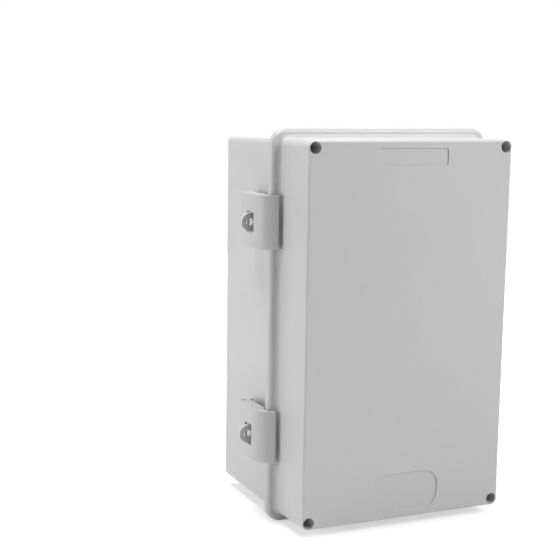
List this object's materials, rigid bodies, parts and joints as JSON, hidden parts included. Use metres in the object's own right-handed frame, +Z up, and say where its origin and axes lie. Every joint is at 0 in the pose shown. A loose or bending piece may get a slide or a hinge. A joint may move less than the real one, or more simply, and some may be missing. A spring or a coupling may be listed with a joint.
{
  "type": "hinged wall enclosure",
  "caption": "Upright wall box with a deep base, a hinged cover, snap latches with padlock eyes, a bead round the cover, driver holes at its corners and a mounting plate inside.",
  "frame": {"origin": "centre of the back face, in the middle of the wall-fixing holes", "axes": "+Z up the box, -Y out of the wall towards the front face, +X towards the hinge side"},
  "size_m": [0.1849, 0.13, 0.262],
  "materials": {
    "base_plastic": "fine-textured moulded light grey polycarbonate",
    "cover_plastic": "fine-textured moulded light grey polycarbonate",
    "latch_plastic": "smooth satin light grey plastic",
    "seal_rubber": "black foamed seal",
    "plate_steel": "galvanised sheet",
    "hardware": "bright stainless steel",
    "brass": "turned brass"
  },
  "bodies": {
    "box": {"base": "base_plastic", "mounting_plate": "plate_steel", "plate_inserts": "brass", "plate_washers": "hardware", "plate_screws": "hardware", "earth_screw": "hardware", "earth_washers": "hardware", "earth_nut": "hardware", "latch_pin_upper": "hardware", "latch_pin_lower": "hardware", "hinge_pin_upper": "hardware", "hinge_pin_lower": "hardware"},
    "door": {"cover": "cover_plastic", "seal": "seal_rubber"},
    "upper_catch": {"latch_upper": "latch_plastic"},
    "lower_catch": {"latch_lower": "latch_plastic"}
  },
  "joints": [
    {"name": "door_hinge", "type": "hinge", "parent": "box", "child": "door", "pos_m": [0.0855, -0.086, 0], "axis": [0, 0, 1], "range_deg": [0, 170]},
    {"name": "upper_latch", "type": "hinge", "parent": "box", "child": "upper_catch", "pos_m": [-0.0832, -0.0555, 0.071], "axis": [0, 0, -1], "range_deg": [0, 90]},
    {"name": "lower_latch", "type": "hinge", "parent": "box", "child": "lower_catch", "pos_m": [-0.0832, -0.0555, -0.071], "axis": [0, 0, -1], "range_deg": [0, 90]}
  ]
}
